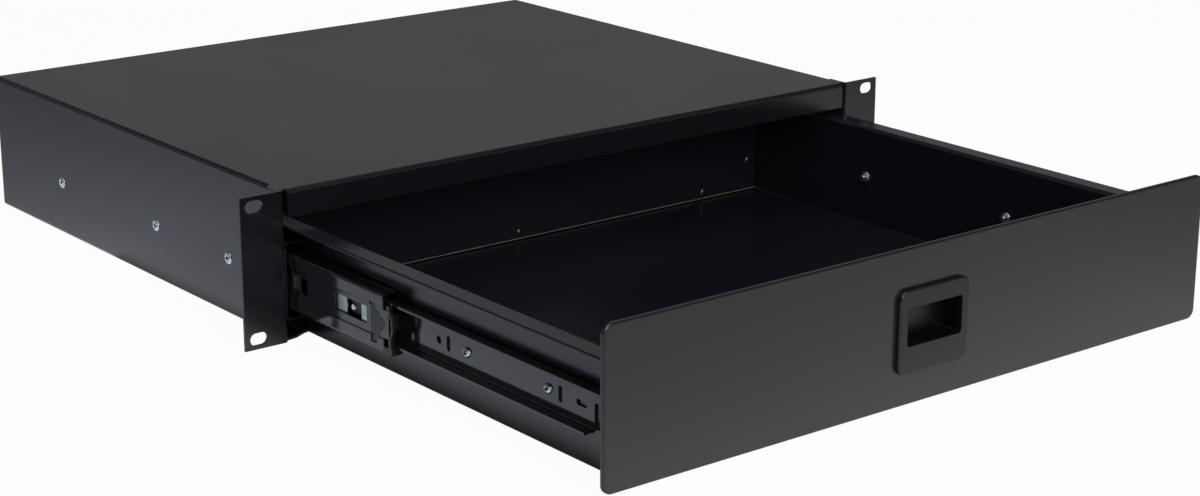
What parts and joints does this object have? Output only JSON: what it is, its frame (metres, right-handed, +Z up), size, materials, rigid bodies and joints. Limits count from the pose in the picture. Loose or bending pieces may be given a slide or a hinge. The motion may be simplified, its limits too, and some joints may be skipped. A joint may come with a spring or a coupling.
{
  "type": "rack drawer",
  "caption": "Sliding rack drawer: folded steel case with rack ears, tray on full-extension ball slides, flat front panel with a recessed finger pull.",
  "frame": {"origin": "centre of the ears' bolt pattern, on the front face of the ears", "axes": "+Z up, -Y towards the user, the way the drawer opens, +X to the user's right"},
  "size_m": [0.4826, 0.6533, 0.0882],
  "materials": {
    "case_paint": "semi-gloss fine-textured black powder coat",
    "drawer_paint": "semi-gloss fine-textured black powder coat",
    "front_paint": "semi-gloss fine-textured black powder coat",
    "slide_black": "smooth glossy black electro-coat",
    "cage_zinc": "bright zinc plate",
    "ball_steel": "polished bearing steel",
    "fastener_zinc": "bright zinc plate",
    "pull_plastic": "matt black moulded plastic",
    "clip_plastic": "matt black moulded plastic",
    "stop_plastic": "matt black moulded plastic",
    "bumper_rubber": "soft black rubber"
  },
  "bodies": {
    "case": {"case_shell": "case_paint", "rear_panel": "case_paint", "rear_panel_screws": "fastener_zinc", "outer_slide_left": "slide_black", "outer_slide_right": "slide_black", "rear_bumper_left": "bumper_rubber", "rear_bumper_right": "bumper_rubber", "case_slide_screws_left": "fastener_zinc", "case_slide_screws_right": "fastener_zinc"},
    "middle_left": {"middle_slide_left": "slide_black", "front_clip_left": "clip_plastic"},
    "outer_cage_left": {"outer_ball_cage_left": "cage_zinc", "outer_balls_left": "ball_steel"},
    "inner_cage_left": {"inner_ball_cage_left": "cage_zinc", "inner_balls_left": "ball_steel"},
    "middle_right": {"middle_slide_right": "slide_black", "front_clip_right": "clip_plastic"},
    "outer_cage_right": {"outer_ball_cage_right": "cage_zinc", "outer_balls_right": "ball_steel"},
    "inner_cage_right": {"inner_ball_cage_right": "cage_zinc", "inner_balls_right": "ball_steel"},
    "drawer": {"drawer_tray": "drawer_paint", "drawer_back": "drawer_paint", "drawer_back_rivets": "fastener_zinc", "front_panel": "front_paint", "front_panel_nuts": "fastener_zinc", "pull_cup": "pull_plastic", "inner_slide_left": "slide_black", "inner_slide_right": "slide_black", "travel_stop_left": "stop_plastic", "travel_stop_right": "stop_plastic", "stop_rivet_left": "fastener_zinc", "stop_rivet_right": "fastener_zinc", "drawer_slide_screws_left": "fastener_zinc", "drawer_slide_screws_right": "fastener_zinc", "drawer_slide_nuts_left": "fastener_zinc", "drawer_slide_nuts_right": "fastener_zinc"}
  },
  "joints": [
    {"name": "middle_left_slide", "type": "slide", "parent": "case", "child": "middle_left", "axis": [0, -1, 0], "range_m": [-0.107, 0.065]},
    {"name": "drawer_slide", "type": "slide", "parent": "middle_left", "child": "drawer", "axis": [0, -1, 0], "range_m": [-0.178, 0]},
    {"name": "middle_right_slide", "type": "slide", "parent": "case", "child": "middle_right", "axis": [0, -1, 0], "range_m": [-0.107, 0.065]},
    {"name": "outer_cage_left_slide", "type": "slide", "parent": "case", "child": "outer_cage_left", "axis": [0, -1, 0], "range_m": [-0.0535, 0.0325]},
    {"name": "inner_cage_left_slide", "type": "slide", "parent": "middle_left", "child": "inner_cage_left", "axis": [0, -1, 0], "range_m": [-0.089, 0]},
    {"name": "outer_cage_right_slide", "type": "slide", "parent": "case", "child": "outer_cage_right", "axis": [0, -1, 0], "range_m": [-0.0535, 0.0325]},
    {"name": "inner_cage_right_slide", "type": "slide", "parent": "middle_right", "child": "inner_cage_right", "axis": [0, -1, 0], "range_m": [-0.089, 0]}
  ],
  "couplings": [
    {"joint": "middle_right_slide", "follows": "middle_left_slide", "ratio": 1},
    {"joint": "outer_cage_left_slide", "follows": "middle_left_slide", "ratio": 0.5},
    {"joint": "inner_cage_left_slide", "follows": "drawer_slide", "ratio": 0.5},
    {"joint": "outer_cage_right_slide", "follows": "middle_left_slide", "ratio": 0.5},
    {"joint": "inner_cage_right_slide", "follows": "drawer_slide", "ratio": 0.5}
  ]
}
